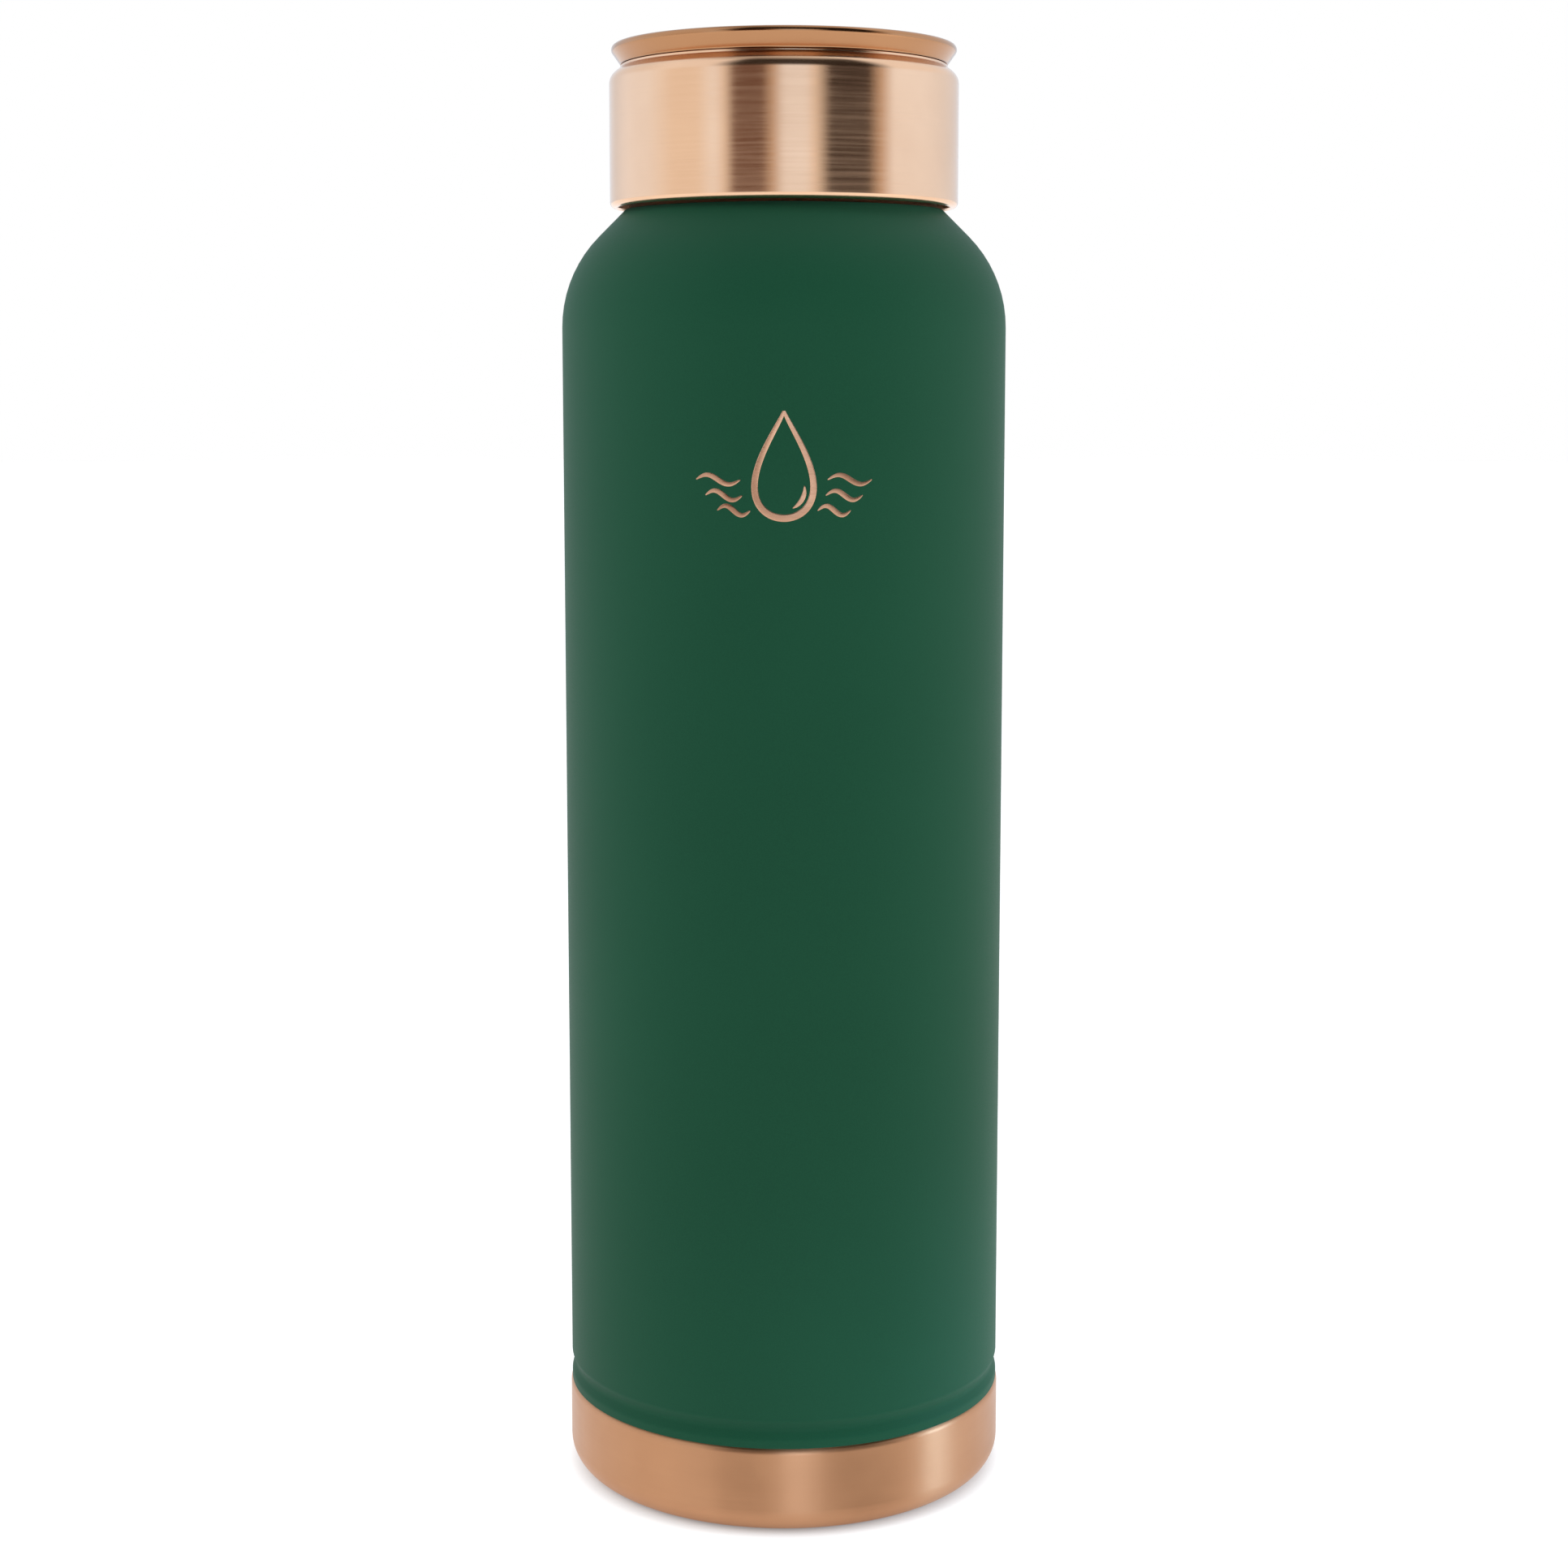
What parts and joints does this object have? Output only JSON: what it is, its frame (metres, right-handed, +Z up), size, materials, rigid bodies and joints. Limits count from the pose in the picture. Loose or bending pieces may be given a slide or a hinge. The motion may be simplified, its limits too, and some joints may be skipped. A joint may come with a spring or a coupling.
{
  "type": "water bottle",
  "caption": "Round copper water bottle with a coloured silk-matt coat, bare copper base band and a copper screw cap that turns and lifts on its thread.",
  "frame": {"origin": "centre of the foot ring, on the surface the bottle stands on", "axes": "+Z up along the bottle's axis, from the foot to the cap; -Y is the side that carries the emblem; +X is to the right seen from that side"},
  "size_m": [0.0763, 0.0762, 0.2478],
  "materials": {
    "green_coat": "silk-matt baked coat, dark green",
    "satin_copper": null,
    "brushed_copper": "copper brushed in fine rings round the axis",
    "polished_copper": "polished copper with a spun sheen",
    "bare_copper": "bare copper, slightly dull",
    "liner_plastic": "natural moulded polypropylene",
    "seal_silicone": "matt translucent silicone"
  },
  "bodies": {
    "bottle": {"bottle_shell": "bare_copper", "base_cup": "satin_copper", "silk_coat": "green_coat", "neck_ring": "bare_copper"},
    "seal": {"cap_gasket": "seal_silicone"},
    "cap": {"cap_shell": "brushed_copper", "cap_top_disc": "polished_copper", "cap_liner": "liner_plastic"}
  },
  "joints": [
    {"name": "cap_rise", "type": "slide", "parent": "bottle", "child": "seal", "axis": [0, 0, 1], "range_m": [0, 0.0225]},
    {"name": "cap_turn", "type": "hinge", "parent": "seal", "child": "cap", "pos_m": [0, 0, 0.2312], "axis": [0, 0, 1], "range_deg": [0, 1620]}
  ],
  "couplings": [
    {"joint": "cap_rise", "follows": "cap_turn", "m_per_rad": 0.00079577}
  ]
}
